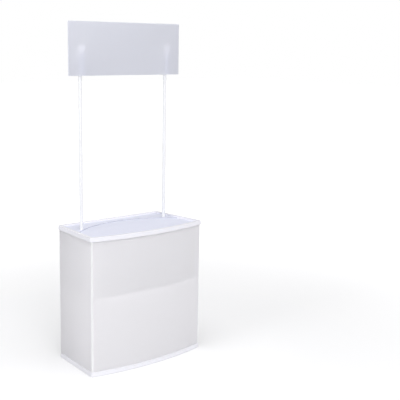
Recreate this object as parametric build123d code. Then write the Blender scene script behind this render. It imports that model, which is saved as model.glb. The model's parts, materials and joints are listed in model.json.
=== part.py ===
from build123d import *
from math import asin, atan2, cos, degrees, pi, radians, sin, sqrt
import os

# A knock-down promotion counter: a moulded base tray, a three-panel wrap whose side leaves hinge
# on the curved front panel, one shelf, a moulded countertop, and two poles that carry a header board.
# Millimetres. +X is the visitor's right, +Y the demonstrator's side, +Z up. The origin lies on the
# floor under the middle of the countertop. Everything except the cable hole mirrors in X = 0.

# ---------------------------------------------------------------- driving dimensions
# Plan of the wrap, on the outside of its panels
BODY_WIDTH = 800.0          # across the two front corners
BODY_DEPTH = 386.0          # front corners to the rear edges of the leaves
SIDE_TAPER = 36.0           # how far each leaf leans in from front to rear
FRONT_BOW = 47.0            # how far the front panel bulges past its corners

# Base tray
BASE_HEIGHT = 28.0          # floor to the deck that the panels stand on
BASE_LIP = 3.0              # how far the tray stands out past the panels
SKIRT_LIFT = 2.0            # gap under the skirt, taken up by the feet
FOOT_RADIUS = 12.0
FOOT_HEIGHT = 5.0
FOOT_INSET = 14.0           # foot's edge inside the panels' outer faces
BASE_CORNER_RADIUS = 9.0
BASE_RIB_SPACING = 180.0

# Wrap
PANEL_HEIGHT = 764.0
PANEL_THICKNESS = 2.0
KNUCKLE_RADIUS = 4.0        # outside of the corner hinge barrel
PIN_RADIUS = 2.4            # bead that the barrel snaps onto
WEB_THICKNESS = 1.2         # neck between bead and flange
FLANGE_WIDTH = 24.0         # bonded strip behind each panel edge
LEAF_SWING = 95.0           # degrees that a leaf opens outwards
MOUTH_MARGIN = 4.0          # degrees of play at each end of that swing
STILE_WIDTH = 30.0          # rear edge angle, turned inwards
STILE_LEG = 20.0            # rear edge angle, along the leaf
STILE_THICKNESS = 1.5

# Shelf and its brackets
SHELF_TOP = 463.0           # top of the shelf's rim above the floor
SHELF_HEIGHT = 28.0         # rim top to skirt bottom
SHELF_RIM_DEPTH = 10.0
SHELF_WALL = 2.5
SHELF_CORNER_RADIUS = 16.0
SHELF_RIB_SPACING = 190.0
SHELF_REAR_GAP = 6.0        # shelf in front of the rear edge angles
BRACKET_WIDTH = 28.0
BRACKET_PLATE_HEIGHT = 35.0
BRACKET_DROP = 19.5         # shelf skirt down to the top of the bonded plate
BRACKET_REACH = 30.0
BRACKET_WALL = 2.5
BRACKET_STAND_OFF = 3.25    # riser away from the panel, so that it goes under the shelf
BRACKET_CORNER = 3.0
BRACKET_LAP = 4.0           # riser down into the bonded plate
BRACKET_X = 288.0           # front brackets, each side of the middle
REAR_BRACKET_SETBACK = 75.0  # leaf brackets, in front of the leaf's rear edge
TAPE_THICKNESS = 1.0
TAPE_INSET = 2.0            # tape's edge inside the plate's edge

# Countertop
TOP_HEIGHT = 25.5           # fascia height
TOP_LIP = 7.0               # how far the fascia stands out past the panels
FASCIA_STEP = 1.2           # upper tier set back from the lower one
RIM_WIDTH = 20.0
TRAY_DEPTH = 13.0           # rim top down to the tray floor
LEDGE_RISE = 5.0            # rear ledge above the tray floor
LEDGE_LEAD = 15.0           # ledge's edge in front of the pole axes
LEDGE_BOW = 95.0            # how far that edge bends back between the poles
TOP_CORNER_RADIUS = 10.0
TRAY_CORNER_RADIUS = 8.0
TOP_RIB_SPACING = 150.0
MOULD_WALL = 3.0
RIB_THICKNESS = 2.0
RIB_SETBACK = 6.0           # stiffening ribs above the edge of their skirt
TOP_RIB_SETBACK = 2.0       # the same, under the countertop
RIB_CORNER_RADIUS = 6.0
REST_MARGIN = 1.0           # rest rib past both faces of the panels
REST_CORNER_RADIUS = 5.0
LOCATING_RIB = 2.5          # thickness of the ribs that fit inside the wrap
LOCATING_DEPTH = 13.0       # how far those ribs reach into the wrap
CABLE_HOLE_RADIUS = 6.0
CABLE_HOLE_SETOVER = 35.5   # cable hole outside the right pole
CABLE_HOLE_SETBACK = 35.0   # cable hole behind the right pole
GROMMET_FLANGE = 2.5        # how far the grommet's flange reaches past the hole
GROMMET_WALL = 1.5
GROMMET_TAIL = 2.0          # how far its barrel hangs below the ledge

# Poles and header
POLE_RADIUS = 10.0
POLE_WALL = 1.2
POLE_SPACING = 611.0
POLE_SETBACK = 47.0         # pole axes behind the middle of the leaves
POLE_RISE = 1052.5          # tray floor to the poles' tops
SOCKET_DEPTH = 70.0
SOCKET_WALL = 3.0
SOCKET_FLANGE_RADIUS = 28.0
SOCKET_PAD_HEIGHT = 4.0     # boss under the deck that the flange is screwed to
SOCKET_PAD_MARGIN = 2.0
COUPLER_LENGTH = 100.0
COUPLER_WALL = 1.3
PLUG_STEM = 15.0
PLUG_CAP = 3.0
HEADER_WIDTH = 792.0
HEADER_HEIGHT = 302.0
HEADER_THICKNESS = 3.0
HEADER_CORNER_RADIUS = 3.0
CLIP_SIZE = 40.0            # width and height of the block behind the board
CLIP_BORE_DEPTH = 30.0
CLIP_WALL = 4.0
CLIP_FRONT_WALL = 7.0
CLIP_CORNER_RADIUS = 8.0
PAD_THICKNESS = 1.5
PAD_SIZE = 36.0

# Screws of the pole sockets
SCREW_RADIUS = 1.95
SCREW_LENGTH = 9.5
SCREW_HEAD_RADIUS = 3.8
SCREW_HEAD_HEIGHT = 2.4
SCREW_COUNT = 3
RECESS_SPAN = 4.0           # cross recess, tip to tip
RECESS_WIDTH = 0.9

# Fits
RUNNING_GAP = 0.06          # pole in its socket and clip, bead in its barrel
SLIDE_GAP = 0.05            # coupler and plugs in the tubes, screw in its pilot hole
SEAT_GAP = 0.1              # flat faces that rest on one another
BOND_GAP = 0.05             # bonded faces
WRAP_GAP = 1.5              # locating ribs inside the hinges
SHELF_GAP = 0.6             # shelf inside the hinge flanges and behind the front panel
NOSE_GAP = 1.5              # ends of the shelf's nose beside those flanges
PANEL_END_GAP = 0.4         # panel's edge beside the hinge barrel
FLANGE_END_GAP = 1.0        # bonded flange beside the hinge barrel
LEAF_END_GAP = 0.5          # leaf's rear edge to the plan's rear line
HOLE_GAP = 0.5              # pole in the countertop's hole, screw's tip in its pilot hole
SCREW_HOLE_GAP = 0.4        # screw in the socket's flange

# Rounded edges
RIM_EDGE = 2.0
MOULD_EDGE = 1.5
SHELF_EDGE = 1.2
SOFT_EDGE = 1.0
FINE_EDGE = 0.8
LAP = 1.0                   # how far a rib or boss runs into its wall, and a cut past its face

# ---------------------------------------------------------------- worked-out places
FRONT_LINE = -(BODY_DEPTH - FRONT_BOW) / 2
REAR_LINE = FRONT_LINE + BODY_DEPTH
BOW_RADIUS = (BODY_WIDTH ** 2 / 4 + FRONT_BOW ** 2) / (2 * FRONT_BOW)
BOW_CENTRE_Y = FRONT_LINE - FRONT_BOW + BOW_RADIUS
LEAF_ANGLE = atan2(SIDE_TAPER, BODY_DEPTH)
PANEL_BOTTOM = BASE_HEIGHT + SEAT_GAP
PANEL_TOP = PANEL_BOTTOM + PANEL_HEIGHT
TOP_BOTTOM = PANEL_TOP + SEAT_GAP
RIM_TOP = TOP_BOTTOM + TOP_HEIGHT
TRAY_FLOOR = RIM_TOP - TRAY_DEPTH
DECK_BOTTOM = TRAY_FLOOR - MOULD_WALL
LEDGE_TOP = TRAY_FLOOR + LEDGE_RISE
LEDGE_BOTTOM = LEDGE_TOP - MOULD_WALL
FLANGE_THICKNESS = KNUCKLE_RADIUS - PANEL_THICKNESS - BOND_GAP
LOCATING_INSET = 2 * KNUCKLE_RADIUS + WRAP_GAP
SHELF_INSET = KNUCKLE_RADIUS + SHELF_GAP
NOSE_INSET = PANEL_THICKNESS + SHELF_GAP
SHELF_FLOOR = SHELF_TOP - SHELF_RIM_DEPTH
SHELF_BOTTOM = SHELF_TOP - SHELF_HEIGHT
POLE_Y = (FRONT_LINE + REAR_LINE) / 2 + POLE_SETBACK
POLE_TOP = TRAY_FLOOR + POLE_RISE
POLE_JOINT = TRAY_FLOOR + POLE_RISE / 2
SOCKET_PAD_BOTTOM = DECK_BOTTOM - SOCKET_PAD_HEIGHT
SOCKET_FLOOR = SOCKET_PAD_BOTTOM - SOCKET_DEPTH
CLIP_BOTTOM = POLE_TOP - CLIP_BORE_DEPTH
HEADER_CENTRE = CLIP_BOTTOM + CLIP_SIZE / 2
CLIP_FRONT_Y = POLE_Y - POLE_RADIUS - CLIP_FRONT_WALL
HEADER_BACK_Y = CLIP_FRONT_Y - PAD_THICKNESS - 2 * BOND_GAP
TUBE_BORE = POLE_RADIUS - POLE_WALL
CABLE_HOLE_X = POLE_SPACING / 2 + CABLE_HOLE_SETOVER
CABLE_HOLE_Y = POLE_Y + CABLE_HOLE_SETBACK
LEDGE_RADIUS = (POLE_SPACING ** 2 / 4 + LEDGE_BOW ** 2) / (2 * LEDGE_BOW)
LEDGE_CENTRE_Y = POLE_Y - LEDGE_LEAD + LEDGE_BOW - LEDGE_RADIUS
SIDES = {"left": -1, "right": 1}


def save(name, *solids):
    """Writes one node, as one solid or as a group of separate solids."""
    shape = solids[0] if len(solids) == 1 else Compound(children=list(solids))
    export_step(shape, f"parts/{name}.step")


# ---------------------------------------------------------------- plan geometry
def front_corner(offset):
    """Right front corner of the plan outline moved outwards by offset: bow circle meets leaf line."""
    radius = BOW_RADIUS + offset
    start_x = BODY_WIDTH / 2 + offset * cos(LEAF_ANGLE)
    start_y = FRONT_LINE + offset * sin(LEAF_ANGLE)
    along_x, along_y = sin(LEAF_ANGLE), -cos(LEAF_ANGLE)
    from_centre_y = start_y - BOW_CENTRE_Y
    half_b = start_x * along_x + from_centre_y * along_y
    c = start_x ** 2 + from_centre_y ** 2 - radius ** 2
    root = sqrt(half_b ** 2 - c)
    travel = min(-half_b - root, -half_b + root, key=abs)
    return start_x + travel * along_x, start_y + travel * along_y


def rear_corner(offset):
    """Right rear corner of the plan outline moved outwards by offset."""
    y = REAR_LINE + offset
    run = (y - FRONT_LINE - offset * sin(LEAF_ANGLE)) / cos(LEAF_ANGLE)
    return BODY_WIDTH / 2 + offset * cos(LEAF_ANGLE) - run * sin(LEAF_ANGLE), y


def outline(offset, corner_radius=0.0, rear_offset=None):
    """Face of the plan: bowed front, two leaning sides and a straight rear."""
    front_x, front_y = front_corner(offset)
    rear_x, rear_y = rear_corner(offset)
    if rear_offset is not None:
        shift = rear_offset - offset
        rear_x -= shift * sin(LEAF_ANGLE)
        rear_y += shift
    apex_y = BOW_CENTRE_Y - BOW_RADIUS - offset
    bow = ThreePointArc((-front_x, front_y), (0, apex_y), (front_x, front_y))
    sides = Polyline((front_x, front_y), (rear_x, rear_y), (-rear_x, rear_y), (-front_x, front_y))
    face = make_face([bow, *sides.edges()])
    if corner_radius > 0:
        face = fillet(face.vertices(), corner_radius)
    return face


def slab(offset, bottom, top, corner_radius=0.0, rear_offset=None):
    """Solid of the plan outline between two heights."""
    face = outline(offset, corner_radius, rear_offset)
    return Pos(0, 0, bottom) * extrude(face, top - bottom, dir=(0, 0, 1))


def ring(outer, inner, bottom, top, outer_radius=0.0, inner_radius=0.0):
    """Upright wall that follows the plan outline."""
    core = slab(inner, bottom - LAP, top + LAP, inner_radius)
    return slab(outer, bottom, top, outer_radius) - core


def bow_strip(offset, thickness, start, end, bottom, top):
    """Curved strip that follows the front, from offset inwards, between two angles from the middle."""
    outer = BOW_RADIUS + offset
    inner = outer - thickness

    def at(radius, angle):
        return radius * sin(angle), BOW_CENTRE_Y - radius * cos(angle)

    middle = (start + end) / 2
    edges = [
        ThreePointArc(at(outer, start), at(outer, middle), at(outer, end)),
        Line(at(outer, end), at(inner, end)),
        ThreePointArc(at(inner, end), at(inner, middle), at(inner, start)),
        Line(at(inner, start), at(outer, start)),
    ]
    return Pos(0, 0, bottom) * extrude(make_face(edges), top - bottom, dir=(0, 0, 1))


def block(x_range, y_range, z_range):
    """Box between three pairs of limits."""
    sizes = [high - low for low, high in (x_range, y_range, z_range)]
    middles = [(low + high) / 2 for low, high in (x_range, y_range, z_range)]
    return Pos(*middles) * Box(*sizes)


def upright(radius, x, y, bottom, top):
    """Vertical cylinder."""
    return Pos(x, y, (bottom + top) / 2) * Cylinder(radius, top - bottom)


def cross_ribs(count, spacing, bottom, top):
    """Stiffening ribs from front to rear, evenly spaced about the middle."""
    half = RIB_THICKNESS / 2
    places = [spacing * (i - (count - 1) / 2) for i in range(count)]
    y_range = (FRONT_LINE - FRONT_BOW, REAR_LINE)
    return [block((x - half, x + half), y_range, (bottom, top)) for x in places]


# Corner hinge axis of the right leaf, and its angle along the front from the middle
HINGE_X, HINGE_Y = front_corner(-KNUCKLE_RADIUS)
HINGE_ANGLE = atan2(HINGE_X, BOW_CENTRE_Y - HINGE_Y)
LEAF_LENGTH = (REAR_LINE - HINGE_Y) / cos(LEAF_ANGLE)


def leaf_place(side):
    """Frame of a leaf: origin on its hinge axis, +Y along the leaf, outer face towards side * X."""
    return Pos(side * HINGE_X, HINGE_Y, 0) * Rot(0, 0, side * degrees(LEAF_ANGLE))


# ---------------------------------------------------------------- base tray
def make_base_tray():
    tray = slab(BASE_LIP, SKIRT_LIFT, BASE_HEIGHT, BASE_CORNER_RADIUS)
    tray = fillet(tray.faces().sort_by(Axis.Z)[-1].edges(), MOULD_EDGE)
    deck_bottom = BASE_HEIGHT - MOULD_WALL
    tray -= slab(BASE_LIP - MOULD_WALL, 0, deck_bottom, BASE_CORNER_RADIUS - MOULD_WALL)
    tray += ring(-LOCATING_INSET, -LOCATING_INSET - LOCATING_RIB, deck_bottom,
                 BASE_HEIGHT + LOCATING_DEPTH, RIB_CORNER_RADIUS, RIB_CORNER_RADIUS - LOCATING_RIB)
    rib_bottom = SKIRT_LIFT + RIB_SETBACK
    rib_top = deck_bottom + LAP
    inside = slab(BASE_LIP - MOULD_WALL / 2, rib_bottom, rib_top)
    for rib in cross_ribs(4, BASE_RIB_SPACING, rib_bottom, rib_top):
        tray += rib & inside
    half = RIB_THICKNESS / 2
    tray += block((-BODY_WIDTH / 2, BODY_WIDTH / 2), (-half, half), (rib_bottom, rib_top)) & inside
    for x, y in foot_places():
        tray += upright(FOOT_RADIUS + RIB_THICKNESS, x, y, FOOT_HEIGHT, rib_top)
    return tray


def foot_places():
    """The four feet, inside the corners of the base tray."""
    inset = -FOOT_RADIUS - FOOT_INSET
    places = []
    for corner_x, corner_y in (front_corner(inset), rear_corner(inset)):
        places += [(-corner_x, corner_y), (corner_x, corner_y)]
    return places


def make_foot(x, y):
    foot = upright(FOOT_RADIUS, x, y, 0, FOOT_HEIGHT)
    return fillet(foot.faces().sort_by(Axis.Z)[0].edges(), SOFT_EDGE)


# ---------------------------------------------------------------- wrap
def make_front_panel():
    end = HINGE_ANGLE - (KNUCKLE_RADIUS + PANEL_END_GAP) / BOW_RADIUS
    return bow_strip(0, PANEL_THICKNESS, -end, end, PANEL_BOTTOM, PANEL_TOP)


def make_front_hinge(side):
    """Bead on a neck, with the flange that is bonded behind the front panel's edge."""
    flange_start = HINGE_ANGLE - FLANGE_WIDTH / BOW_RADIUS
    flange_end = HINGE_ANGLE - (KNUCKLE_RADIUS + FLANGE_END_GAP) / BOW_RADIUS
    web_start = flange_end - LAP / BOW_RADIUS
    flange_offset = -PANEL_THICKNESS - BOND_GAP
    web_offset = -KNUCKLE_RADIUS + WEB_THICKNESS
    flange = bow_strip(flange_offset, FLANGE_THICKNESS, side * flange_start, side * flange_end,
                       PANEL_BOTTOM, PANEL_TOP)
    web = bow_strip(web_offset, WEB_THICKNESS, side * web_start, side * HINGE_ANGLE,
                    PANEL_BOTTOM, PANEL_TOP)
    bead = upright(PIN_RADIUS, side * HINGE_X, HINGE_Y, PANEL_BOTTOM, PANEL_TOP)
    return flange + web + bead


def make_leaf_panel(side):
    rear = LEAF_LENGTH - STILE_THICKNESS - LEAF_END_GAP
    panel = block((side * KNUCKLE_RADIUS - PANEL_THICKNESS * (side > 0),
                   side * KNUCKLE_RADIUS + PANEL_THICKNESS * (side < 0)),
                  (KNUCKLE_RADIUS + BOND_GAP, rear), (PANEL_BOTTOM, PANEL_TOP))
    return leaf_place(side) * panel


def make_leaf_hinge(side):
    """Open barrel that snaps round the bead, with the flange bonded behind the leaf's front edge."""
    bore = PIN_RADIUS + RUNNING_GAP
    height = PANEL_TOP - PANEL_BOTTOM
    middle = (PANEL_BOTTOM + PANEL_TOP) / 2
    barrel = Pos(0, 0, middle) * (Cylinder(KNUCKLE_RADIUS, height) - Cylinder(bore, height + 2 * LAP))
    # The mouth leaves room for the neck over the whole swing. Angles run from the leaf's own +X,
    # for the left leaf, and are mirrored for the right one.
    neck = -degrees(HINGE_ANGLE) + degrees(LEAF_ANGLE)
    mouth_end = neck + MOUTH_MARGIN
    mouth_start = neck - degrees(asin(WEB_THICKNESS / bore)) - LEAF_SWING - MOUTH_MARGIN
    reach = 3 * KNUCKLE_RADIUS
    steps = 6
    rim = [radians(mouth_start + (mouth_end - mouth_start) * i / steps) for i in range(steps + 1)]
    points = [(0, 0)] + [(-side * reach * cos(a), reach * sin(a)) for a in rim]
    mouth_face = make_face(Polyline(*points, close=True))
    mouth = Pos(0, 0, PANEL_BOTTOM - LAP) * extrude(mouth_face, height + 2 * LAP, dir=(0, 0, 1))
    inner = side * (KNUCKLE_RADIUS - PANEL_THICKNESS - BOND_GAP)
    root = (bore + KNUCKLE_RADIUS) / 2
    flange = block((min(0, inner), max(0, inner)), (root, FLANGE_WIDTH), (PANEL_BOTTOM, PANEL_TOP))
    return leaf_place(side) * (barrel - mouth + flange)


def make_rear_stile(side):
    """Rear edge angle: one leg bonded inside the leaf, one turned inwards across the open back."""
    outer = KNUCKLE_RADIUS
    inner = outer - PANEL_THICKNESS - BOND_GAP
    rear = LEAF_LENGTH - LEAF_END_GAP
    leg = block((inner - STILE_THICKNESS, inner), (rear - STILE_LEG, rear), (PANEL_BOTTOM, PANEL_TOP))
    cover = block((inner - STILE_WIDTH, outer), (rear - STILE_THICKNESS + BOND_GAP, rear),
                  (PANEL_BOTTOM, PANEL_TOP))
    stile = leg + cover
    if side < 0:
        stile = mirror(stile, Plane.YZ)
    return leaf_place(side) * stile


def make_bracket():
    """Shelf bracket, seen on a panel whose inner face is at Y = 0 and which it stands out from in +Y.

    Z = 0 is the underside of the shelf's skirt."""
    half = BRACKET_WIDTH / 2
    back = TAPE_THICKNESS + 3 * BOND_GAP
    riser_back = BRACKET_STAND_OFF
    top = -SEAT_GAP
    plate_top = -BRACKET_DROP
    plate_bottom = plate_top - BRACKET_PLATE_HEIGHT
    plate = block((-half, half), (back, back + BRACKET_WALL), (plate_bottom, plate_top))
    plate = fillet(plate.edges().filter_by(Axis.Y), BRACKET_CORNER)
    riser = block((-half, half), (riser_back, riser_back + BRACKET_WALL), (plate_top - BRACKET_LAP, top))
    ledge = block((-half, half), (riser_back, BRACKET_REACH), (top - BRACKET_WALL, top))
    web_points = [
        (back, plate_bottom + BRACKET_LAP),
        (BRACKET_REACH - BRACKET_CORNER, top - BRACKET_WALL),
        (riser_back, top - BRACKET_WALL / 2),
    ]
    web_face = make_face(Polyline(*[(0, y, z) for y, z in web_points], close=True))
    web = Pos(-BRACKET_WALL / 2, 0, 0) * extrude(web_face, BRACKET_WALL, dir=(1, 0, 0))
    return plate + riser + ledge + web


def make_tape():
    """Double-sided tape between a panel and the bracket's plate, in the bracket's frame."""
    top = -BRACKET_DROP - TAPE_INSET
    bottom = -BRACKET_DROP - BRACKET_PLATE_HEIGHT + TAPE_INSET
    half = BRACKET_WIDTH / 2 - TAPE_INSET
    return block((-half, half), (2 * BOND_GAP, 2 * BOND_GAP + TAPE_THICKNESS), (bottom, top))


def front_bracket_place(side):
    """Where a front bracket meets the inner face of the bowed panel."""
    radius = BOW_RADIUS - PANEL_THICKNESS
    angle = asin(BRACKET_X / radius)
    y = BOW_CENTRE_Y - radius * cos(angle)
    return Pos(side * BRACKET_X, y, SHELF_BOTTOM) * Rot(0, 0, side * degrees(angle))


def leaf_bracket_place(side):
    """Where a rear bracket meets the inner face of its leaf."""
    along = LEAF_LENGTH - REAR_BRACKET_SETBACK
    inner = side * (KNUCKLE_RADIUS - PANEL_THICKNESS)
    return leaf_place(side) * Pos(inner, along, SHELF_BOTTOM) * Rot(0, 0, side * 90)


# ---------------------------------------------------------------- shelf
def make_shelf():
    """Shallow tray with a skirt, and a nose that backs the front panel between the hinge flanges."""
    rear = -STILE_THICKNESS - SHELF_REAR_GAP
    floor_bottom = SHELF_FLOOR - SHELF_WALL
    inner = SHELF_INSET + SHELF_WALL
    inner_rear = rear - SHELF_WALL
    inner_radius = SHELF_CORNER_RADIUS - SHELF_WALL
    nose_end = HINGE_ANGLE - (FLANGE_WIDTH + NOSE_GAP) / BOW_RADIUS
    shelf = slab(-SHELF_INSET, SHELF_BOTTOM, SHELF_TOP, SHELF_CORNER_RADIUS, rear)
    shelf = fillet(shelf.faces().sort_by(Axis.Z)[-1].edges(), SHELF_EDGE)
    shelf += bow_strip(-NOSE_INSET, SHELF_INSET - NOSE_INSET + SHELF_WALL, -nose_end, nose_end,
                       SHELF_BOTTOM, SHELF_TOP)
    shelf -= slab(-inner, SHELF_FLOOR, SHELF_TOP + LAP, inner_radius, inner_rear)
    shelf -= slab(-inner, SHELF_BOTTOM - LAP, floor_bottom, inner_radius, inner_rear)
    rib_bottom = SHELF_BOTTOM + RIB_SETBACK
    rib_top = floor_bottom + LAP
    inside = slab(-inner + LAP, rib_bottom, rib_top, inner_radius, inner_rear + LAP)
    for rib in cross_ribs(3, SHELF_RIB_SPACING, rib_bottom, rib_top):
        shelf += rib & inside
    return shelf


# ---------------------------------------------------------------- countertop
def make_countertop():
    """Rimmed tray with a two-tier fascia, hollow underneath, with a raised ledge round the poles."""
    middle = TOP_BOTTOM + TOP_HEIGHT / 2
    upper_lip = TOP_LIP - FASCIA_STEP
    upper_radius = TOP_CORNER_RADIUS - FASCIA_STEP
    rim_inner = TOP_LIP - RIM_WIDTH
    rim_bottom = RIM_TOP - MOULD_WALL
    lower_tier = slab(TOP_LIP, TOP_BOTTOM, middle, TOP_CORNER_RADIUS)
    lower_tier = fillet(lower_tier.faces().sort_by(Axis.Z)[-1].edges(), FINE_EDGE)
    upper_tier = slab(upper_lip, middle - LAP, RIM_TOP, upper_radius)
    upper_tier -= slab(rim_inner, LEDGE_TOP, RIM_TOP + LAP, TRAY_CORNER_RADIUS)
    upper_tier = fillet(upper_tier.faces().sort_by(Axis.Z)[-1].edges(), RIM_EDGE)
    top = lower_tier + upper_tier
    top -= slab(TOP_LIP - MOULD_WALL, TOP_BOTTOM - LAP, DECK_BOTTOM, TOP_CORNER_RADIUS - MOULD_WALL)
    top -= ring(upper_lip - MOULD_WALL, rim_inner + MOULD_WALL, DECK_BOTTOM - LAP, rim_bottom,
                upper_radius - MOULD_WALL, TRAY_CORNER_RADIUS + MOULD_WALL)
    top -= ledge_zone(rim_inner, DECK_BOTTOM - LAP, LEDGE_BOTTOM, MOULD_WALL)
    # Rest rib over the panels' top edges, and the locating rib inside them
    top += ring(REST_MARGIN, -PANEL_THICKNESS - REST_MARGIN, TOP_BOTTOM, rim_bottom + LAP,
                REST_CORNER_RADIUS, REST_CORNER_RADIUS - PANEL_THICKNESS)
    top += ring(-LOCATING_INSET, -LOCATING_INSET - LOCATING_RIB, PANEL_TOP - LOCATING_DEPTH,
                rim_bottom + LAP, RIB_CORNER_RADIUS, RIB_CORNER_RADIUS - LOCATING_RIB)
    rib_bottom = TOP_BOTTOM + TOP_RIB_SETBACK
    rib_top = LEDGE_BOTTOM + LAP
    inside = slab(-LOCATING_INSET - LAP, rib_bottom, rib_top)
    for rib in cross_ribs(3, TOP_RIB_SPACING, rib_bottom, rib_top):
        top += rib & inside
    pole_places = [(side * POLE_SPACING / 2, POLE_Y) for side in SIDES.values()]
    for x, y in pole_places:
        top += upright(SOCKET_FLANGE_RADIUS + SOCKET_PAD_MARGIN, x, y, SOCKET_PAD_BOTTOM, rib_top)
    # The tray is cut last, so that it trims the ribs and bosses under its floor
    tray = slab(rim_inner, TRAY_FLOOR, RIM_TOP + LAP, TRAY_CORNER_RADIUS)
    top -= tray - ledge_zone(rim_inner + LAP, TRAY_FLOOR - LAP, LEDGE_TOP, 0)
    for x, y in pole_places:
        top -= upright(POLE_RADIUS + HOLE_GAP, x, y, SOCKET_PAD_BOTTOM - LAP, RIM_TOP)
    pilot_top = SOCKET_PAD_BOTTOM + SCREW_LENGTH - SOCKET_WALL + HOLE_GAP
    for side in SIDES.values():
        for x, y in screw_places(side):
            top -= upright(SCREW_RADIUS + SLIDE_GAP, x, y, SOCKET_PAD_BOTTOM - LAP, pilot_top)
    top -= upright(CABLE_HOLE_RADIUS, CABLE_HOLE_X, CABLE_HOLE_Y, TOP_BOTTOM, RIM_TOP)
    return top


def ledge_zone(offset, bottom, top, margin):
    """Space of the ledge: what the plan holds behind the arc that bends back between the poles."""
    front = upright(LEDGE_RADIUS + margin, 0, LEDGE_CENTRE_Y, bottom - LAP, top + LAP)
    return slab(offset, bottom, top, TRAY_CORNER_RADIUS) - front


def make_grommet():
    """Snap-in ring that lines the cable hole."""
    x, y = CABLE_HOLE_X, CABLE_HOLE_Y
    flange_top = LEDGE_TOP + GROMMET_WALL
    tail = LEDGE_BOTTOM - GROMMET_TAIL
    flange = upright(CABLE_HOLE_RADIUS + GROMMET_FLANGE, x, y, LEDGE_TOP + BOND_GAP, flange_top)
    flange = fillet(flange.faces().sort_by(Axis.Z)[-1].edges(), FINE_EDGE)
    barrel = upright(CABLE_HOLE_RADIUS - SLIDE_GAP, x, y, tail, LEDGE_TOP + LAP)
    bore = upright(CABLE_HOLE_RADIUS - GROMMET_WALL, x, y, tail - LAP, flange_top + LAP)
    return flange + barrel - bore


# ---------------------------------------------------------------- pole sockets
def screw_places(side):
    """Screws of one socket, on a circle round the pole."""
    circle = (POLE_RADIUS + SOCKET_WALL + SOCKET_FLANGE_RADIUS) / 2
    x = side * POLE_SPACING / 2
    angles = [pi / 2 + 2 * pi * i / SCREW_COUNT for i in range(SCREW_COUNT)]
    return [(x + circle * cos(a), POLE_Y + circle * sin(a)) for a in angles]


def make_socket(side):
    x = side * POLE_SPACING / 2
    top = SOCKET_PAD_BOTTOM - BOND_GAP
    flange = upright(SOCKET_FLANGE_RADIUS, x, POLE_Y, top - SOCKET_WALL, top)
    tube = upright(POLE_RADIUS + SOCKET_WALL, x, POLE_Y, SOCKET_FLOOR - SOCKET_WALL, top)
    socket = flange + tube
    socket = fillet(socket.faces().sort_by(Axis.Z)[0].edges(), MOULD_EDGE)
    socket -= upright(POLE_RADIUS + RUNNING_GAP, x, POLE_Y, SOCKET_FLOOR, top + LAP)
    hole = SCREW_RADIUS + SCREW_HOLE_GAP
    for screw_x, screw_y in screw_places(side):
        socket -= upright(hole, screw_x, screw_y, top - SOCKET_WALL - LAP, top + LAP)
    return socket


def make_screw(x, y):
    """Pan-head screw driven up through the socket's flange."""
    seat = SOCKET_PAD_BOTTOM - BOND_GAP - SOCKET_WALL - BOND_GAP
    head = upright(SCREW_HEAD_RADIUS, x, y, seat - SCREW_HEAD_HEIGHT, seat)
    head = fillet(head.faces().sort_by(Axis.Z)[0].edges(), SOFT_EDGE)
    slot = Box(RECESS_SPAN, RECESS_WIDTH, SCREW_HEAD_HEIGHT)
    recess = Pos(x, y, seat - SCREW_HEAD_HEIGHT) * (slot + Rot(0, 0, 90) * slot)
    shank = upright(SCREW_RADIUS, x, y, seat - LAP, seat + SCREW_LENGTH)
    return head + shank - recess


# ---------------------------------------------------------------- poles
def make_tube(x, bottom, top):
    bore = upright(TUBE_BORE, x, POLE_Y, bottom - LAP, top + LAP)
    return upright(POLE_RADIUS, x, POLE_Y, bottom, top) - bore


def make_plug(x, cap_bottom, stem_up):
    """End plug: a cap as wide as the tube, on a stem that presses into it."""
    cap_top = cap_bottom + PLUG_CAP
    cap = upright(POLE_RADIUS, x, POLE_Y, cap_bottom, cap_top)
    if stem_up:
        stem_range = (cap_bottom + LAP, cap_top + PLUG_STEM)
        rim = cap.faces().sort_by(Axis.Z)[0].edges()
    else:
        stem_range = (cap_bottom - PLUG_STEM, cap_top - LAP)
        rim = cap.faces().sort_by(Axis.Z)[-1].edges()
    return fillet(rim, SOFT_EDGE) + upright(TUBE_BORE - SLIDE_GAP, x, POLE_Y, *stem_range)


def make_coupler(x):
    """Sleeve that joins the two sections, fixed in the upper one."""
    outer = TUBE_BORE - SLIDE_GAP
    bottom = POLE_JOINT - COUPLER_LENGTH / 2
    top = POLE_JOINT + COUPLER_LENGTH / 2
    sleeve = upright(outer, x, POLE_Y, bottom, top)
    sleeve = chamfer(sleeve.faces().sort_by(Axis.Z)[0].edges(), FINE_EDGE)
    return sleeve - upright(outer - COUPLER_WALL, x, POLE_Y, bottom - LAP, top + LAP)


# ---------------------------------------------------------------- header
def make_header_clip(side):
    """Block behind the board, with a blind bore that drops over the pole's top."""
    x = side * POLE_SPACING / 2
    half = CLIP_SIZE / 2
    back = POLE_Y + POLE_RADIUS + CLIP_WALL
    clip = block((x - half, x + half), (CLIP_FRONT_Y, back), (CLIP_BOTTOM, CLIP_BOTTOM + CLIP_SIZE))
    clip = fillet(clip.edges().filter_by(Axis.Z).sort_by(Axis.Y)[-2:], CLIP_CORNER_RADIUS)
    clip = fillet(clip.faces().sort_by(Axis.Z)[-1].edges(), MOULD_EDGE)
    return clip - upright(POLE_RADIUS + RUNNING_GAP, x, POLE_Y, CLIP_BOTTOM - LAP, POLE_TOP + SEAT_GAP)


def make_header_pad(side):
    """Fastening pad between clip and board."""
    x = side * POLE_SPACING / 2
    half = PAD_SIZE / 2
    y_range = (CLIP_FRONT_Y - BOND_GAP - PAD_THICKNESS, CLIP_FRONT_Y - BOND_GAP)
    return block((x - half, x + half), y_range, (HEADER_CENTRE - half, HEADER_CENTRE + half))


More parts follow.
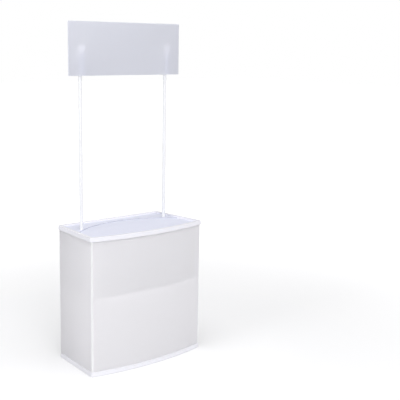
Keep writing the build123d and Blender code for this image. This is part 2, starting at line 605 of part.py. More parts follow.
def make_header_board():
    half = HEADER_WIDTH / 2
    board = block((-half, half), (HEADER_BACK_Y - HEADER_THICKNESS, HEADER_BACK_Y),
                  (HEADER_CENTRE - HEADER_HEIGHT / 2, HEADER_CENTRE + HEADER_HEIGHT / 2))
    return fillet(board.edges().filter_by(Axis.Y), HEADER_CORNER_RADIUS)


# ---------------------------------------------------------------- build
os.makedirs("parts", exist_ok=True)

save("base_tray", make_base_tray())
save("base_feet", *[make_foot(x, y) for x, y in foot_places()])
save("front_panel", make_front_panel())
save("shelf", make_shelf())
save("countertop", make_countertop())
save("cable_grommet", make_grommet())
save("socket_screws", *[make_screw(x, y) for side in SIDES.values() for x, y in screw_places(side)])
save("front_bracket_tapes", *[front_bracket_place(side) * make_tape() for side in SIDES.values()])
save("header_board", make_header_board())

for name, side in SIDES.items():
    pole_x = side * POLE_SPACING / 2
    save(f"{name}_corner_bead", make_front_hinge(side))
    save(f"{name}_corner_barrel", make_leaf_hinge(side))
    save(f"{name}_panel", make_leaf_panel(side))
    save(f"{name}_rear_stile", make_rear_stile(side))
    save(f"{name}_front_bracket", front_bracket_place(side) * make_bracket())
    save(f"{name}_rear_bracket", leaf_bracket_place(side) * make_bracket())
    save(f"{name}_rear_bracket_tape", leaf_bracket_place(side) * make_tape())
    save(f"{name}_pole_socket", make_socket(side))
    save(f"{name}_pole_foot_plug", make_plug(pole_x, SOCKET_FLOOR + SEAT_GAP, True))
    foot_top = SOCKET_FLOOR + SEAT_GAP + PLUG_CAP
    save(f"{name}_lower_pole", make_tube(pole_x, foot_top, POLE_JOINT))
    save(f"{name}_upper_pole", make_tube(pole_x, POLE_JOINT + SEAT_GAP, POLE_TOP - PLUG_CAP))
    save(f"{name}_pole_coupler", make_coupler(pole_x))
    save(f"{name}_pole_top_plug", make_plug(pole_x, POLE_TOP - PLUG_CAP, False))
    save(f"{name}_header_clip", make_header_clip(side))
    save(f"{name}_header_pad", make_header_pad(side))

print("hinge axis", round(HINGE_X, 3), round(HINGE_Y, 3))
print("pole axis", POLE_SPACING / 2, round(POLE_Y, 3), "tray floor", round(TRAY_FLOOR, 3))
print("overall height", round(HEADER_CENTRE + HEADER_HEIGHT / 2, 3))
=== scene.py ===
# %% [markdown]
# # A promotion counter with a header board
#
# A knock-down counter for fairs and exhibitions. A moulded base tray carries a wrap of three thin
# translucent panels. A moulded countertop with a raised rim sits on the wrap, a shelf hangs inside,
# and two slim poles hold a header board above head height.
#
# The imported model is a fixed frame: it says where every piece is and what moves with what. This
# lesson adds the looks, one finish and one piece at a time.

# %% Load the frame
import json
from math import asin, cos, pi, radians, sin

import bmesh
import bpy
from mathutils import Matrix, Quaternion, Vector


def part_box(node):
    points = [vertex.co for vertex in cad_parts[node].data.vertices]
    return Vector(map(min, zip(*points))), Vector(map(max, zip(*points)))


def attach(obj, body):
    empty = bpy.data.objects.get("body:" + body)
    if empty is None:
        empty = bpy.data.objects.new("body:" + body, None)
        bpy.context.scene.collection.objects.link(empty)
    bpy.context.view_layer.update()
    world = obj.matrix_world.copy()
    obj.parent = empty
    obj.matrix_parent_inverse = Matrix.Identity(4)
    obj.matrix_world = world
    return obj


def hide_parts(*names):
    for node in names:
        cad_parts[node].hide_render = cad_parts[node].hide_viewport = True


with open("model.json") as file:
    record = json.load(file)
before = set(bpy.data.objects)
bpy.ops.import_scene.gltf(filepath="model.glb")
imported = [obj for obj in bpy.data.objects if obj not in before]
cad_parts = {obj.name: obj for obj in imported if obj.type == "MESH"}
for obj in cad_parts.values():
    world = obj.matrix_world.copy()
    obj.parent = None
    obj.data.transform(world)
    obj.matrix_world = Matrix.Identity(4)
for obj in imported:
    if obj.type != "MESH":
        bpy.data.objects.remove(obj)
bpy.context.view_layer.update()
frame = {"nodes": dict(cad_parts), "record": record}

# %% [markdown]
# ## Where the camera stands
#
# The counter is seen from its left front corner, a little above its top. Cameras could be placed
# by hand, but a view is easier to read as an azimuth, a drop and a distance from the point it looks
# at. That point lies to the right of the counter, so the counter stands left of the middle.

# %% Camera
view_azimuth = radians(41.26)
view_drop = radians(10.43)
view_roll = radians(0.95)
view_distance = 5.097
view_target = Vector((0.3088, -0.2709, 0.9689))

forward = Vector((sin(view_azimuth) * cos(view_drop), cos(view_azimuth) * cos(view_drop), -sin(view_drop)))
camera = bpy.data.objects.new("camera", bpy.data.cameras.new("camera"))
camera.data.lens = 77.05
camera.data.sensor_width = 36
camera.location = view_target - forward * view_distance
camera.rotation_mode = "QUATERNION"
camera.rotation_quaternion = forward.to_track_quat("-Z", "Y") @ Quaternion((0, 0, 1), view_roll)
bpy.context.collection.objects.link(camera)
bpy.context.scene.camera = camera
print("camera at", tuple(round(v, 3) for v in camera.location))

# %% [markdown]
# ## Node maths as expressions
#
# A finish is a small sum: a noise times a strength, a mask turned over, a blend of two colours. A
# piece that follows a rule is a sum too: an angle, a radius, a height. Written node by node such sums
# are hard to read. `Value` wraps a socket, so that ordinary Python operators add the Math nodes.
# `Wiring` adds any other node in one call, and serves shader trees and Geometry Nodes trees alike.

# %% Value and Wiring
class Value:
    """A number on a node's output, with Python's operators."""

    def __init__(self, wiring, socket):
        self.wiring, self.socket = wiring, socket

    def math(self, operation, a=None, b=0.0):
        inputs = {0: self if a is None else a, 1: b}
        return self.wiring.node("ShaderNodeMath", {"operation": operation}, inputs)

    def __add__(self, other): return self.math("ADD", self, other)
    def __radd__(self, other): return self.math("ADD", other, self)
    def __sub__(self, other): return self.math("SUBTRACT", self, other)
    def __rsub__(self, other): return self.math("SUBTRACT", other, self)
    def __mul__(self, other): return self.math("MULTIPLY", self, other)
    def __rmul__(self, other): return self.math("MULTIPLY", other, self)
    def __truediv__(self, other): return self.math("DIVIDE", self, other)
    def __pow__(self, other): return self.math("POWER", self, other)
    def sin(self): return self.math("SINE")
    def cos(self): return self.math("COSINE")


class Wiring:
    """A node tree under construction."""

    def __init__(self, tree):
        self.tree = tree

    def node(self, kind, settings=None, inputs=None, output=0):
        """Adds one node: settings first, then each socket's value or link."""
        made = self.tree.nodes.new(kind)
        for key, value in (settings or {}).items():
            setattr(made, key, value)
        for key, value in (inputs or {}).items():
            self.put(made.inputs[key], value)
        return Value(self, made.outputs[output])

    def put(self, socket, value):
        if isinstance(value, Value):
            self.tree.links.new(value.socket, socket)
        else:
            socket.default_value = value


# %% Finish
class Finish(Wiring):
    """One material. Every finish starts from the same shader and adds what it needs."""

    def __init__(self, name, **fixed):
        self.material = bpy.data.materials.new(name)
        self.material.use_nodes = True
        super().__init__(self.material.node_tree)
        self.shader = self.tree.nodes["Principled BSDF"]
        self.feed(**fixed)

    def feed(self, **values):
        for socket, value in values.items():
            self.put(self.shader.inputs[socket.replace("_", " ")], value)

    def place(self, scale=(1, 1, 1)):
        """The surface point in metres, stretched along the axes."""
        point = self.node("ShaderNodeTexCoord", output="Object")
        return self.node("ShaderNodeMapping", {}, {"Vector": point, "Scale": scale})

    def axis(self, kind, output, index):
        """One coordinate of a node's vector output."""
        return self.node("ShaderNodeSeparateXYZ", {}, {0: self.node(kind, output=output)}, index)

    def noise(self, scale, detail=2.0, roughness=0.5, stretch=(1, 1, 1)):
        return self.node("ShaderNodeTexNoise", {}, {"Vector": self.place(stretch), "Scale": scale,
                                                   "Detail": detail, "Roughness": roughness})

    def smooth(self, value, low, high):
        """Turns a number into a mask: 0 below low, 1 above high, soft between."""
        return self.node("ShaderNodeMapRange", {"interpolation_type": "SMOOTHSTEP"},
                         {"Value": value, "From Min": low, "From Max": high})

    def blend(self, factor, a, b):
        """Mixes two colours."""
        mixed = self.node("ShaderNodeMix", {"data_type": "RGBA"}, {"Factor": factor}, output=2)
        mix = mixed.socket.node
        self.put(mix.inputs[6], a)
        self.put(mix.inputs[7], b)
        return mixed

    def bump(self, height, distance, strength=1.0, under=None):
        inputs = {"Height": height, "Distance": distance, "Strength": strength}
        if under is not None:
            inputs["Normal"] = under
        return self.node("ShaderNodeBump", {}, inputs)

    def milk(self, share, colour):
        """Lets a share of the light through, scattered, as a milky sheet does."""
        surface = Value(self, self.shader.outputs["BSDF"])
        through = self.node("ShaderNodeBsdfTranslucent", {}, {"Color": colour})
        sheet = self.node("ShaderNodeMixShader", {}, {0: share, 1: surface, 2: through})
        self.put(self.tree.nodes["Material Output"].inputs["Surface"], sheet)


finishes = {}
print("node helpers ready")

# %% [markdown]
# ## Moulded white plastic
#
# The base, the shelf and the countertop are injection-moulded in white ABS with a faint cool cast.
# The mould leaves a fine, even grain that keeps the shine low. A flat white would look like paper,
# so the grain goes into the bump, a slow noise shifts the tint a little, and thin rubbed streaks
# lower the roughness where goods have slid over the surface. The shelf and its brackets get a
# purer, brighter copy of the white, which is painted light: it adds to the real lighter patch that
# they make on the wrap where they touch it from behind.

# %% Moulded white
tray_low, tray_high = 0.8, 0.811      # the tray floor and its ledge lie between these heights
tray_front, tray_back, tray_side = -0.15, 0.19, 0.365      # just inside the rim


def moulded_white(name, white_a, white_b):
    f = Finish(name, IOR=1.5)
    slow = f.noise(6.0, 3.0)
    grain = f.noise(1400.0, 2.0, 0.6)
    pebble = f.noise(420.0, 1.0)
    rubbed = f.smooth(f.noise(9.0, 5.0, 0.7, (1, 6, 1)), 0.56, 0.72)
    height = f.axis("ShaderNodeTexCoord", "Object", 2)
    up = f.smooth(f.axis("ShaderNodeNewGeometry", "Normal", 2), 0.7, 0.95)
    below_rim = 1.0 - f.smooth(height, tray_high, tray_high + 0.002)
    level = below_rim * f.smooth(height, tray_low - 0.002, tray_low)
    # The ledge's low wall faces forwards, as the fascia does, but stands inside the rim; it is painted dark,
    # as painted shade at the foot of the ledge
    depth = f.axis("ShaderNodeTexCoord", "Object", 1)
    across = f.axis("ShaderNodeTexCoord", "Object", 0).math("ABSOLUTE")
    behind_front = f.smooth(depth, tray_front - 0.01, tray_front + 0.01)
    before_back = 1.0 - f.smooth(depth, tray_back - 0.01, tray_back + 0.01)
    between_sides = 1.0 - f.smooth(across, tray_side - 0.001, tray_side + 0.001)
    wall = behind_front * before_back * between_sides * (1.0 - up)
    tray = level * (up + wall)
    white = f.blend(slow, white_a, white_b)
    # the tray floor, the ledge and its low wall are coloured darker and bluer than the rim
    darker_bluer = f.blend(slow, (0.715, 0.73, 0.85, 1), (0.745, 0.76, 0.865, 1))
    # painted shade: the dark blue-grey of the ledge's low wall
    painted_ledge_shade = (0.50, 0.515, 0.60, 1)
    f.feed(Base_Color=f.blend(level * wall, f.blend(tray, white, darker_bluer), painted_ledge_shade),
           Roughness=0.46 + 0.08 * grain - 0.12 * rubbed + 0.12 * tray,
           Normal=f.bump(grain * 0.6 + pebble * (0.4 + 0.6 * tray), 0.00012, 0.5))
    return f.material


finishes["moulded_white"] = moulded_white("moulded_white", (0.77, 0.77, 0.82, 1), (0.80, 0.795, 0.84, 1))
# a brighter copy of the moulded white, painted light for the shelf and its brackets
inner_white = moulded_white("inner_white", (0.95, 0.95, 0.945, 1), (0.97, 0.97, 0.965, 1))
print("moulded_white and inner_white ready")

# %% [markdown]
# ## Translucent wrap sheet
#
# The three panels are extruded polypropylene, two millimetres thick and milky: whatever touches the
# back shows as a soft patch, and anything further in melts away. A transparent shader would show the
# inside sharply. A Translucent shader mixed with the surface lets the light through both faces of the
# sheet and scatters it, as the milky plastic does. The extruder leaves faint upright lines and a slow
# waviness.

# %% Wrap sheet
def wrap_sheet():
    f = Finish("wrap_sheet", IOR=1.3)
    lines = f.noise(55.0, 3.0, 0.5, (1, 1, 0.02))
    wave = f.noise(3.2, 1.0, 0.4, (1, 1, 0.6))
    cloud = f.noise(2.0, 2.0)
    grain = f.noise(900.0, 1.0)
    f.feed(Base_Color=f.blend(cloud, (0.945, 0.94, 0.955, 1), (0.965, 0.96, 0.975, 1)),
           Roughness=0.45 + 0.08 * lines,
           Normal=f.bump(grain, 0.00006, 0.5, f.bump(lines * 0.15 + wave, 0.0016, 0.35)))
    f.milk(0.55, (0.97, 0.965, 0.98, 1))
    return f.material


finishes["wrap_sheet"] = wrap_sheet()
print("wrap_sheet ready")

# %% [markdown]
# ## Header sheet
#
# The header board is clearer and cooler than the wrap: the poles and the clips behind it can be
# made out. It is the same mix with more light let through and a blue-grey tint.

# %% Header sheet
def header_sheet():
    f = Finish("header_sheet", IOR=1.3)
    wave = f.noise(4.0, 2.0)
    grain = f.noise(900.0, 1.0)
    f.feed(Base_Color=f.blend(wave, (0.925, 0.935, 1.0, 1), (0.945, 0.955, 1.0, 1)),
           Roughness=0.32 + 0.05 * wave,
           Normal=f.bump(grain, 0.00004, 0.4, f.bump(wave, 0.0008, 0.3)))
    f.milk(0.75, (0.945, 0.953, 1.0, 1))
    return f.material


finishes["header_sheet"] = header_sheet()
print("header_sheet ready")

# %% [markdown]
# ## Hinge and edge extrusions
#
# The corner beads, barrels and rear edge angles are extruded PVC, whiter and glossier than the
# mouldings, with draw lines along their length.

# %% Hinge extrusion
def hinge_white():
    f = Finish("hinge_white", IOR=1.5, Coat_Roughness=0.2)
    draw = f.noise(700.0, 2.0, 0.6, (1, 1, 0.004))
    handled = f.noise(12.0, 4.0)
    f.feed(Base_Color=f.blend(handled, (0.81, 0.81, 0.825, 1), (0.84, 0.84, 0.85, 1)),
           Roughness=0.28 + 0.14 * draw,
           Normal=f.bump(draw, 0.00005, 0.4))
    return f.material


finishes["hinge_white"] = hinge_white()
print("hinge_white ready")

# %% [markdown]
# ## Poles, fittings and small parts
#
# The poles are powder-coated: white, half-gloss, with the faint orange peel of the coat. The inner
# couplers are bare drawn aluminium. Clips are ivory mouldings, pads are hook-and-loop fabric, and
# the feet and the hole's liner are rubbery.

# %% Pole coat and aluminium
def pole_white():
    f = Finish("pole_white", IOR=1.5)
    peel = f.noise(260.0, 2.0, 0.5)
    worn = f.smooth(f.noise(30.0, 5.0, 0.6, (1, 1, 0.2)), 0.6, 0.75)
    f.feed(Base_Color=f.blend(worn, (0.77, 0.78, 0.805, 1), (0.735, 0.74, 0.765, 1)),
           Roughness=0.38 + 0.12 * worn,
           Normal=f.bump(peel, 0.00008, 0.35))
    return f.material


def bare_aluminium():
    f = Finish("bare_aluminium", Metallic=1.0)
    draw = f.noise(900.0, 2.0, 0.6, (1, 1, 0.01))
    f.feed(Base_Color=f.blend(draw, (0.74, 0.75, 0.77, 1), (0.82, 0.83, 0.85, 1)),
           Roughness=0.32 + 0.12 * draw, Normal=f.bump(draw, 0.00003, 0.4))
    return f.material


finishes["pole_white"] = pole_white()
finishes["bare_aluminium"] = bare_aluminium()
print("pole finishes ready")

# %% Clips, plugs, pads, rubber and screws
def clip_ivory():
    f = Finish("clip_ivory", IOR=1.5)
    slow, grain = f.noise(40.0, 3.0), f.noise(1200.0, 2.0)
    f.feed(Base_Color=f.blend(slow, (0.93, 0.90, 0.82, 1), (0.96, 0.93, 0.86, 1)),
           Roughness=0.42 + 0.10 * grain, Normal=f.bump(grain, 0.0001, 0.5))
    return f.material


def plug_white():
    f = Finish("plug_white", IOR=1.5)
    grain = f.noise(1000.0, 2.0)
    f.feed(Base_Color=f.blend(grain, (0.86, 0.86, 0.89, 1), (0.90, 0.90, 0.92, 1)),
           Roughness=0.40 + 0.12 * grain, Normal=f.bump(grain, 0.0001, 0.4))
    return f.material


def hook_and_loop():
    f = Finish("hook_and_loop", IOR=1.45)
    fuzz, weave = f.noise(2600.0, 3.0, 0.7), f.noise(700.0, 1.0)
    f.feed(Base_Color=f.blend(weave, (0.90, 0.87, 0.78, 1), (0.96, 0.94, 0.87, 1)),
           Roughness=0.85 + 0.10 * fuzz, Normal=f.bump(fuzz, 0.0004, 0.8))
    return f.material


def foam_tape():
    f = Finish("foam_tape", IOR=1.4)
    cells = f.noise(1800.0, 2.0, 0.7)
    f.feed(Base_Color=f.blend(cells, (0.80, 0.80, 0.78, 1), (0.88, 0.88, 0.86, 1)),
           Roughness=0.75 + 0.12 * cells, Normal=f.bump(cells, 0.0003, 0.6))
    return f.material


def foot_rubber():
    f = Finish("foot_rubber", IOR=1.5)
    dust, grain = f.smooth(f.noise(60.0, 4.0), 0.5, 0.75), f.noise(1500.0, 2.0)
    f.feed(Base_Color=f.blend(dust, (0.035, 0.035, 0.038, 1), (0.12, 0.12, 0.12, 1)),
           Roughness=0.62 + 0.20 * dust, Normal=f.bump(grain, 0.0002, 0.5))
    return f.material


def grommet_grey():
    f = Finish("grommet_grey", IOR=1.5)
    slow, grain = f.noise(80.0, 2.0), f.noise(1500.0, 2.0)
    f.feed(Base_Color=f.blend(slow, (0.17, 0.17, 0.20, 1), (0.22, 0.22, 0.26, 1)),
           Roughness=0.45 + 0.12 * grain, Normal=f.bump(grain, 0.0001, 0.5))
    return f.material


def zinc_screw():
    f = Finish("zinc_screw", Metallic=1.0)
    spangle, fine = f.noise(700.0, 2.0), f.noise(3000.0, 2.0)
    f.feed(Base_Color=f.blend(spangle, (0.62, 0.63, 0.66, 1), (0.74, 0.75, 0.76, 1)),
           Roughness=0.28 + 0.18 * spangle, Normal=f.bump(fine, 0.00003, 0.4))
    return f.material


for make in (clip_ivory, plug_white, hook_and_loop, foam_tape, foot_rubber, grommet_grey, zinc_screw):
    finishes[make.__name__] = make()
print(len(finishes), "finishes")

# %% [markdown]
# ## Dress the frame
#
# Each node of the frame names its material slot in the record. Nodes whose shape is already right
# only get the finish of that slot.

# %% Finishes on the frame
slot_of = {part["node"]: part["material_slot"] for part in frame["record"]["subparts"]}
body_of = {node: body for body, nodes in frame["record"]["behaviour"]["bodies"].items() for node in nodes}
for name, node in frame["nodes"].items():
    node.data.materials.clear()
    node.data.materials.append(finishes[slot_of[name]])
inner = ["shelf"] + [f"{side}_{end}_bracket" for side in ("left", "right") for end in ("front", "rear")]
for name in inner:
    frame["nodes"][name].data.materials[0] = inner_white
print("dressed", len(slot_of), "nodes")

# %% [markdown]
# ## Growing pieces with Geometry Nodes
#
# What repeats, or follows a rule, is grown by a Geometry Nodes tree. `Growth` opens such a tree with
# named inputs for its sizes and closes it with Realize Instances and Set Material. The result is
# then taken out as a plain mesh, and the modifier is removed, so that nothing is left live.

# %% Growth
class Growth(Wiring):
    """A Geometry Nodes tree whose sizes are named inputs. Its points are the piece's own vertices."""

    def __init__(self, name, **sizes):
        super().__init__(bpy.data.node_groups.new(name, "GeometryNodeTree"))
        self.name, self.sizes, self.identifiers = name, sizes, {}
        face = self.tree.interface
        face.new_socket("Geometry", in_out="INPUT", socket_type="NodeSocketGeometry")
        face.new_socket("Geometry", in_out="OUTPUT", socket_type="NodeSocketGeometry")
        for label, value in sizes.items():
            kind = "NodeSocketInt" if isinstance(value, int) else "NodeSocketFloat"
            self.identifiers[label] = face.new_socket(label, in_out="INPUT", socket_type=kind).identifier
        self.entry = self.tree.nodes.new("NodeGroupInput")

    def size(self, label):
        return Value(self, self.entry.outputs[label])

    def points(self):
        return Value(self, self.entry.outputs["Geometry"])

    def vector(self, x, y, z):
        return self.node("ShaderNodeCombineXYZ", {}, {"X": x, "Y": y, "Z": z})

    def position(self):
        """The three coordinates of each vertex."""
        split = self.node("ShaderNodeSeparateXYZ", {}, {0: self.node("GeometryNodeInputPosition")})
        return [Value(self, split.socket.node.outputs[i]) for i in range(3)]

    def move(self, mesh, x, y, z):
        """Puts every vertex at a worked-out place."""
        return self.node("GeometryNodeSetPosition", {}, {"Geometry": mesh, "Position": self.vector(x, y, z)})

    def shift(self, mesh, x=0.0, y=0.0, z=0.0):
        return self.node("GeometryNodeTransform", {}, {"Geometry": mesh, "Translation": self.vector(x, y, z)})

    def join(self, *meshes):
        joined = self.tree.nodes.new("GeometryNodeJoinGeometry")
        for mesh in reversed(meshes):
            self.tree.links.new(mesh.socket, joined.inputs[0])
        return Value(self, joined.outputs[0])

    def scatter(self, instance):
        """Puts a copy of the instance on each of the piece's own points."""
        return self.node("GeometryNodeInstanceOnPoints", {}, {"Points": self.points(), "Instance": instance})

    def piece(self, geometry, material, places=((0, 0, 0),)):
        """Closes the tree, grows it once on the given points and returns a plain mesh object."""
        real = self.node("GeometryNodeRealizeInstances", {}, {"Geometry": geometry})
        dressed = self.node("GeometryNodeSetMaterial", {}, {"Geometry": real, "Material": material})
        self.tree.links.new(dressed.socket, self.tree.nodes.new("NodeGroupOutput").inputs[0])
        seed = bpy.data.meshes.new(self.name)
        seed.from_pydata([tuple(place) for place in places], [], [])
        grown = bpy.data.objects.new(self.name, seed)
        bpy.context.collection.objects.link(grown)
        modifier = grown.modifiers.new("growth", "NODES")
        modifier.node_group = self.tree
        for label, value in self.sizes.items():
            modifier[self.identifiers[label]] = value
        return settle(grown)


def settle(piece):
    """Turns a piece's modifiers into plain, merged mesh with its faces outwards."""
    ready = piece.evaluated_get(bpy.context.evaluated_depsgraph_get())
    mesh = bpy.data.meshes.new_from_object(ready)
    piece.modifiers.clear()
    piece.data = mesh
    work = bmesh.new()
    work.from_mesh(mesh)
    bmesh.ops.remove_doubles(work, verts=work.verts, dist=1e-6)
    bmesh.ops.recalc_face_normals(work, faces=work.faces)
    work.to_mesh(mesh)
    work.free()
    return piece


def shade(piece, corner=radians(40)):
    """Shades a piece smooth, except across edges sharper than the corner."""
    piece.data.shade_smooth()
    piece.data.set_sharp_from_angle(angle=corner)
    return piece


def soften(piece, width):
    """Rounds a piece's sharp edges and shades the rest smooth."""
    bevel = piece.modifiers.new("soften", "BEVEL")
    bevel.width, bevel.segments = width, 2
    bevel.limit_method, bevel.angle_limit = "ANGLE", radians(40)
    return shade(settle(piece))


def stand_for(piece, *nodes):
    """Lets a piece ride with the body of its first node, and hides the nodes of the frame that it replaces.
    """
    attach(piece, body_of[nodes[0]])
    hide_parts(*nodes)
    print(piece.name, len(piece.data.polygons), "faces, for", ", ".join(nodes))


print("growing helpers ready")

# %% [markdown]
# ## Where the small repeated pieces stand
#
# Feet and screws share one node each in the frame, as groups of separate solids. Their places are
# read from that node: its mesh falls apart into one island for each solid.

# %% Islands of a node
def islands(node):
    """The lowest and highest corner of each separate solid in a node's mesh."""
    work = bmesh.new()
    work.from_mesh(frame["nodes"][node].data)
    bmesh.ops.remove_doubles(work, verts=work.verts, dist=1e-6)
    left, boxes = set(work.verts), []
    while left:
        island, waiting = set(), [left.pop()]
        while waiting:
            vert = waiting.pop()
            island.add(vert)
            fresh = [link.other_vert(vert) for link in vert.link_edges]
            fresh = [other for other in fresh if other in left]
            left.difference_update(fresh)
            waiting.extend(fresh)
        points = [vert.co for vert in island]
        boxes.append(([min(p[i] for p in points) for i in range(3)],
                      [max(p[i] for p in points) for i in range(3)]))
    work.free()
    return sorted(boxes)


foot_boxes = islands("base_feet")
screw_boxes = islands("socket_screws")
print(len(foot_boxes), "feet and", len(screw_boxes), "screws")

# %% [markdown]
# ## The bowed front panel
#
# The largest face of the counter is a flat sheet held in a bend by the mouldings. A curve could be
# swept into it. Bending a flat sheet by its own rule is closer to the real thing, and gives even
# strips: the sheet starts flat, and every point at a distance x along it goes to the angle x / R. A
# real sheet is never quite true, so a slow ripple of a few tenths of a millimetre goes in as well.

# %% Front panel
panel_thickness, panel_edge = 0.002, 0.0004


def front_panel():
    low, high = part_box("front_panel")
    half_chord = (high[0] - low[0]) / 2
    sagitta = high[1] - panel_thickness - low[1]
    radius = (half_chord ** 2 + sagitta ** 2) / (2 * sagitta)
    centre_y = low[1] + radius
    reach = asin(half_chord / radius) * radius
    g = Growth("front_panel_sheet", Radius=radius, Length=2 * reach, Height=high[2] - low[2],
               Thickness=panel_thickness, Ripple=0.00025, Seed=3.0)
    flat = g.node("GeometryNodeMeshCube", {}, {
        "Size": g.vector(g.size("Length"), g.size("Thickness"), g.size("Height")),
        "Vertices X": 121, "Vertices Y": 2, "Vertices Z": 41})
    x, y, z = g.position()
    wander = g.node("ShaderNodeTexNoise", {"noise_dimensions": "4D"}, {
        "Vector": g.vector(x * 3.0, 0.0, z * 1.2), "W": g.size("Seed"),
        "Scale": 1.0, "Detail": 1.0})
    # The ripple fades out at the top and bottom, where the mouldings hold the sheet true
    hold = (z * pi / g.size("Height")).cos()
    ripple = (wander - 0.5) * 2.0 * g.size("Ripple") * hold
    out = g.size("Radius") - g.size("Thickness") / 2.0 - y - ripple
    angle = x / g.size("Radius")
    bent = g.move(flat, angle.sin() * out, centre_y - angle.cos() * out, z + (low[2] + high[2]) / 2)
    return soften(g.piece(bent, finishes["wrap_sheet"]), panel_edge)


stand_for(front_panel(), "front_panel")

# %% [markdown]
# ## Cut edges of the flat sheets
#
# The leaves and the header board are flat sheets. Their shape in the frame is right, but a cut edge is
# never a perfect corner. A copy is merged into one skin, and its edges get a small round, which
# catches a thin line of light.

# %% Leaves and header board
def sheet(node, edge):
    """A merged copy of a node of the frame, with its edges rounded."""
    mesh = frame["nodes"][node].data.copy()
    piece = bpy.data.objects.new(node + "_sheet", mesh)
    bpy.context.collection.objects.link(piece)
    settle(piece)
    work = bmesh.new()
    work.from_mesh(piece.data)
    bmesh.ops.dissolve_limit(work, angle_limit=radians(1), verts=work.verts, edges=work.edges)
    work.to_mesh(piece.data)
    work.free()
    return soften(piece, edge)


board_edge = 0.0005
for node, edge in (("left_panel", panel_edge), ("right_panel", panel_edge), ("header_board", board_edge)):
    stand_for(sheet(node, edge), node)

# %% [markdown]
# ## Rubber feet
#
# Each foot is a low rubber disc with concentric grip rings moulded into its sole. One foot is made as
# a cylinder whose rim follows a rounding rule, with rings swept round it, and is then put on four
# points.

# %% Feet
ring_profile = 0.001      # the ring is made this thick, then scaled


def rubber_feet():
    low, high = foot_boxes[0]
    radius, height = (high[0] - low[0]) / 2, high[2] - low[2]
    g = Growth("grip_feet", Radius=radius, Height=height, Ring=0.0005, Rings=4)
    disc = g.node("GeometryNodeMeshCylinder", {"fill_type": "NGON"}, {
        "Vertices": 64, "Side Segments": 8, "Radius": g.size("Radius"), "Depth": g.size("Height")})
    x, y, z = g.position()
    # Up from the sole, the wall swells to its full radius like a quarter round
    rise = (z + g.size("Height") / 2.0) / g.size("Height")
    swell = 1.0 - 0.08 * (1.0 - rise) ** 4.0
    disc = g.move(disc, x * swell, y * swell, z + g.size("Height") / 2.0 + g.size("Ring"))
    disc = g.node("GeometryNodeTransform", {}, {
        "Geometry": disc, "Scale": g.vector(1.0, 1.0, 1.0 - g.size("Ring") / g.size("Height"))})
    line = g.node("GeometryNodeMeshLine", {"mode": "OFFSET"}, {
        "Count": g.size("Rings"), "Start Location": (0, 0, 0), "Offset": (0, 0, 0)})
    path = g.node("GeometryNodeCurvePrimitiveCircle", {}, {"Resolution": 64, "Radius": 1.0})
    profile = g.node("GeometryNodeCurvePrimitiveCircle", {}, {"Resolution": 8, "Radius": ring_profile})
    ring = g.node("GeometryNodeCurveToMesh", {}, {"Curve": path, "Profile Curve": profile})
    number = g.node("GeometryNodeInputIndex") + 1.0
    span = number * g.size("Radius") * 0.8 / g.size("Rings")
    rings = g.node("GeometryNodeInstanceOnPoints", {}, {
        "Points": line, "Instance": ring, "Scale": g.vector(span, span, g.size("Ring") / ring_profile)})
    rings = g.shift(rings, 0.0, 0.0, g.size("Ring"))
    places = [((a[0] + b[0]) / 2, (a[1] + b[1]) / 2, a[2]) for a, b in foot_boxes]
    return shade(g.piece(g.scatter(g.join(disc, rings)), finishes["foot_rubber"], places))


stand_for(rubber_feet(), "base_feet")

# %% [markdown]
# ## Socket screws
#
# Six pan-head screws hold the two pole sockets. The head is a short cylinder whose radius follows a
# superellipse, with a cross cut out of it. The thread is a tapering helix swept with a three-sided
# profile, wound round a plain shank.

# %% Screws
thread_start, plain_length = 0.0005, 0.001      # the thread leaves this much of the shank plain


def socket_screws():
    low, high = screw_boxes[0]
    head_radius, length = (high[0] - low[0]) / 2, high[2] - low[2]
    g = Growth("pan_head_screws", HeadRadius=head_radius, HeadHeight=0.0024, CoreRadius=0.00155,
               Length=length, Pitch=0.0012, ThreadHeight=0.0004, Slot=0.0009)
    head = g.node("GeometryNodeMeshCylinder", {"fill_type": "NGON"}, {
        "Vertices": 40, "Side Segments": 12, "Radius": g.size("HeadRadius"), "Depth": g.size("HeadHeight")})
    x, y, z = g.position()
    down = 0.5 - z / g.size("HeadHeight")
    swell = (1.0 - 0.55 * down ** 5.0) ** 0.5
    head = g.move(head, x * swell, y * swell, z + g.size("HeadHeight") / 2.0)
    span, slot = g.size("HeadRadius") * 1.05, g.size("Slot")
    for along, across in ((span, slot), (slot, span)):
        bar = g.node("GeometryNodeMeshCube", {}, {
            "Size": g.vector(along, across, g.size("HeadHeight")),
            "Vertices X": 2, "Vertices Y": 2, "Vertices Z": 2})
        head = g.node("GeometryNodeMeshBoolean", {"operation": "DIFFERENCE"},
                      {"Mesh 1": head, "Mesh 2": bar})
    shank_length = g.size("Length") - g.size("HeadHeight")
    shank = g.node("GeometryNodeMeshCylinder", {"fill_type": "NGON"}, {
        "Vertices": 24, "Radius": g.size("CoreRadius"), "Depth": shank_length})
    shank = g.shift(shank, 0.0, 0.0, g.size("HeadHeight") + shank_length / 2.0)
    thread_length = shank_length - plain_length
    helix = g.node("GeometryNodeCurveSpiral", {}, {
        "Resolution": 24, "Rotations": thread_length / g.size("Pitch"), "Height": thread_length,
        "Start Radius": g.size("CoreRadius"), "End Radius": g.size("CoreRadius") * 0.8})
    profile = g.node("GeometryNodeCurvePrimitiveCircle", {}, {
        "Resolution": 3, "Radius": g.size("ThreadHeight")})
    thread = g.node("GeometryNodeCurveToMesh", {}, {
        "Curve": helix, "Profile Curve": profile, "Fill Caps": True})
    thread = g.shift(thread, 0.0, 0.0, g.size("HeadHeight") + thread_start)
    places = [((a[0] + b[0]) / 2, (a[1] + b[1]) / 2, a[2]) for a, b in screw_boxes]
    return shade(g.piece(g.scatter(g.join(head, shank, thread)), finishes["zinc_screw"], places), radians(35))


stand_for(socket_screws(), "socket_screws")
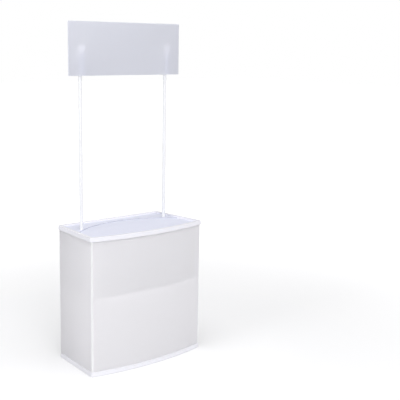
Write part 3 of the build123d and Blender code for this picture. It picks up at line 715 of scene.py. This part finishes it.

# %% [markdown]
# ## Floor and light
#
# A white sweep: the ground and the backdrop are one bright tone, and only a soft shadow ties the
# counter to the floor. The sky that is looked at is pure white. The sky that lights is a large soft
# front and a much dimmer back. What stands close behind a translucent sheet then shows as a lighter
# patch, because the light that reaches it comes through the sheet from the front and returns. The
# floor has a painted glow that is seen but lights nothing: weak near the counter, so that the floor
# there stays darker and the counter's shadow shows, and full far away, so that the floor meets the
# sky with no edge.

# %% Studio
sky_seen, sky_front, sky_back = 1.0, 1.06, 0.10
near_glow, far_glow = 0.17, 0.62
near_reach, far_reach = 1.0, 5.0      # how far out the glow is weak, and where it is full


def make_floor(size=60.0):
    mesh = bpy.data.meshes.new("floor")
    half = size / 2
    corners = [(-half, -half, 0), (half, -half, 0), (half, half, 0), (-half, half, 0)]
    mesh.from_pydata(corners, [], [(0, 1, 2, 3)])
    floor = bpy.data.objects.new("floor", mesh)
    bpy.context.collection.objects.link(floor)
    f = Finish("floor_paper", IOR=1.1, Emission_Strength=far_glow)
    away = f.node("ShaderNodeVectorMath", {"operation": "LENGTH"}, {0: f.place()}, "Value")
    near = near_glow / far_glow
    # painted glow: weak near the counter, which leaves the floor there darker, and full far away
    painted_glow = f.blend(f.smooth(away, near_reach, far_reach), (near, near, near, 1), (1, 1, 1, 1))
    looked_at = f.node("ShaderNodeLightPath", output="Is Camera Ray")
    f.feed(Base_Color=(0.80, 0.80, 0.81, 1), Roughness=0.9 + 0.05 * f.noise(3.0),
           Emission_Color=f.blend(looked_at, (0, 0, 0, 1), painted_glow))
    mesh.materials.append(f.material)


def make_lamp(name, place, aim, size, watts):
    lamp = bpy.data.lights.new(name, "AREA")
    lamp.shape, lamp.size, lamp.energy = "DISK", size, watts
    light = bpy.data.objects.new(name, lamp)
    light.location = place
    light.rotation_mode = "QUATERNION"
    light.rotation_quaternion = (Vector(aim) - Vector(place)).to_track_quat("-Z", "Y")
    bpy.context.collection.objects.link(light)


make_floor()
make_lamp("key", (-2.6, -6.8, 4.3), (0, 0, 0.8), 3.4, 136)
make_lamp("side", (-5.8, -0.4, 2.4), (0, 0, 0.7), 2.6, 80)
make_lamp("top", (-0.5, 0.0, 5.0), (0, 0, 0.5), 3.5, 70)

world = bpy.data.worlds.new("studio")
world.use_nodes = True
sky = Wiring(world.node_tree)
looked_at = sky.node("ShaderNodeLightPath", output="Is Camera Ray")
direction = sky.node("ShaderNodeTexCoord", output="Generated")
backwards = sky.node("ShaderNodeSeparateXYZ", {}, {0: direction}, "Y")
sky_light = sky.node("ShaderNodeMapRange", {"interpolation_type": "SMOOTHSTEP"},
                     {"Value": backwards, "From Min": -0.7, "From Max": 0.9,
                      "To Min": sky_front, "To Max": sky_back})
backdrop = world.node_tree.nodes["Background"]
backdrop.inputs["Color"].default_value = (1, 1, 1, 1)
sky.put(backdrop.inputs["Strength"], sky_light + (sky_seen - sky_light) * looked_at)
bpy.context.scene.world = world
bpy.context.scene.view_settings.view_transform = "Standard"
